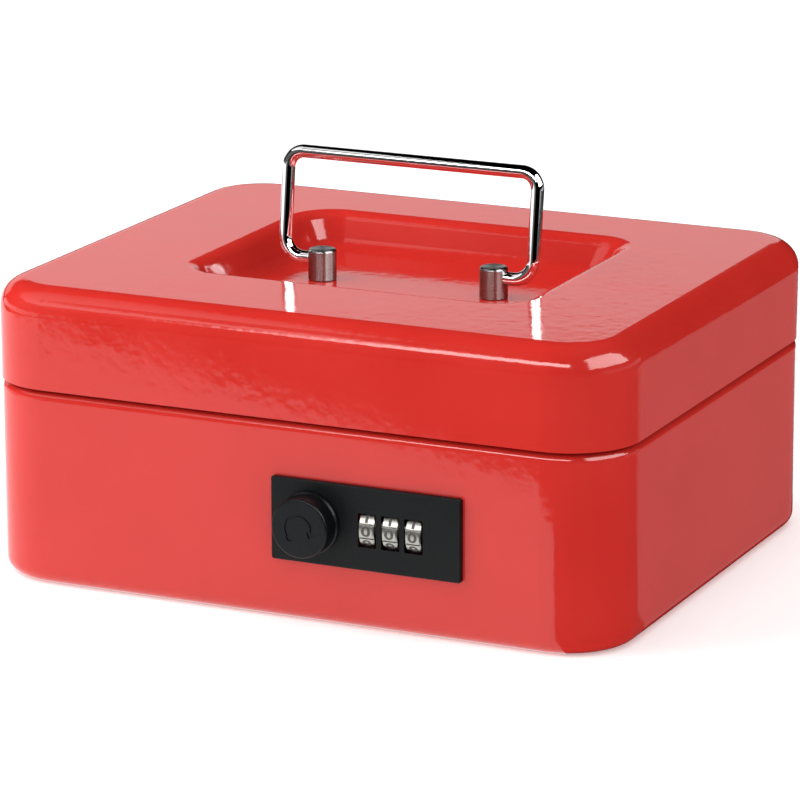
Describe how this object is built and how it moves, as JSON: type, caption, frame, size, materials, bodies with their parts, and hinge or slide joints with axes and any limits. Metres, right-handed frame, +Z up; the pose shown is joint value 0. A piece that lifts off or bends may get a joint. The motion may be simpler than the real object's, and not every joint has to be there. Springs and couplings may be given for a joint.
{
  "type": "combination cash box",
  "caption": "Small steel cash box with a hinged lid, folding wire handle in a recess, knob and number-wheel lock, and lift-out coin tray.",
  "frame": {"origin": "centre of the flat bottom of the tub, on the surface it rests on", "axes": "+X to the right along the box's long side, +Y from the lock side to the hinge side, +Z up"},
  "size_m": [0.2, 0.1793, 0.1186],
  "materials": {
    "red_paint": "glossy powder coat",
    "chrome_wire": "polished chrome plate",
    "nickel_posts": "polished nickel plate",
    "hinge_steel": "bright zinc plate",
    "fastener_steel": "zinc plate",
    "plate_plastic": "fine moulded texture",
    "knob_plastic": "satin moulded",
    "dial_metal": "nickel plated, figures filled dark",
    "case_plastic": "moulded",
    "lock_steel": "plain zinc plate",
    "spring_steel": "blued spring steel",
    "lock_brass": "stamped brass",
    "tray_plastic": "moulded, fine texture"
  },
  "bodies": {
    "box": {"body_shell": "red_paint", "hinge_leaf_body_left": "hinge_steel", "hinge_leaf_body_right": "hinge_steel", "hinge_pin_left": "hinge_steel", "hinge_pin_right": "hinge_steel", "hinge_rivets_body": "fastener_steel", "lock_plate": "plate_plastic", "lock_case": "case_plastic", "lock_cover": "case_plastic", "lock_screws": "fastener_steel", "dial_spindle": "lock_steel", "detent_spring": "spring_steel", "tray_ledge_left": "red_paint", "tray_ledge_right": "red_paint"},
    "lid": {"lid_shell": "red_paint", "hinge_leaf_lid_left": "hinge_steel", "hinge_leaf_lid_right": "hinge_steel", "hinge_rivets_lid": "fastener_steel", "handle_post_left": "nickel_posts", "handle_post_right": "nickel_posts", "post_washers": "fastener_steel", "post_screws": "fastener_steel", "strike": "lock_steel"},
    "handle": {"handle_bail": "chrome_wire"},
    "lock_knob": {"knob": "knob_plastic", "knob_shaft": "lock_steel", "cam_disc": "lock_brass", "tongue": "lock_steel", "tongue_nut": "fastener_steel"},
    "fence": {"fence_bar": "lock_brass"},
    "first_dial": {"dial_1": "dial_metal"},
    "second_dial": {"dial_2": "dial_metal"},
    "third_dial": {"dial_3": "dial_metal"},
    "tray": {"coin_tray": "tray_plastic"}
  },
  "joints": [
    {"name": "lid_hinge", "type": "hinge", "parent": "box", "child": "lid", "pos_m": [0, 0.0854, 0.059], "axis": [-1, 0, 0], "range_deg": [0, 105]},
    {"name": "handle_swing", "type": "hinge", "parent": "lid", "child": "handle", "pos_m": [0, 0.001, 0.085], "axis": [-1, 0, 0], "range_deg": [-104.1, 90.1]},
    {"name": "knob_turn", "type": "hinge", "parent": "box", "child": "lock_knob", "pos_m": [0.0091, -0.084, 0.0305], "axis": [0, 1, 0], "range_deg": [0, 90]},
    {"name": "fence_slide", "type": "slide", "parent": "box", "child": "fence", "axis": [1, 0, 0], "range_m": [0, 0.00141]},
    {"name": "dial_1_turn", "type": "hinge", "parent": "box", "child": "first_dial", "pos_m": [0.0268, -0.0784, 0.0301], "axis": [1, 0, 0], "continuous": true},
    {"name": "dial_2_turn", "type": "hinge", "parent": "box", "child": "second_dial", "pos_m": [0.034, -0.0784, 0.0301], "axis": [1, 0, 0], "continuous": true},
    {"name": "dial_3_turn", "type": "hinge", "parent": "box", "child": "third_dial", "pos_m": [0.0412, -0.0784, 0.0301], "axis": [1, 0, 0], "continuous": true},
    {"name": "tray_lift", "type": "slide", "parent": "box", "child": "tray", "axis": [0, 0, 1], "range_m": [0, 0.012]}
  ],
  "couplings": [
    {"joint": "fence_slide", "follows": "knob_turn", "m_per_rad": 0.00089127}
  ]
}
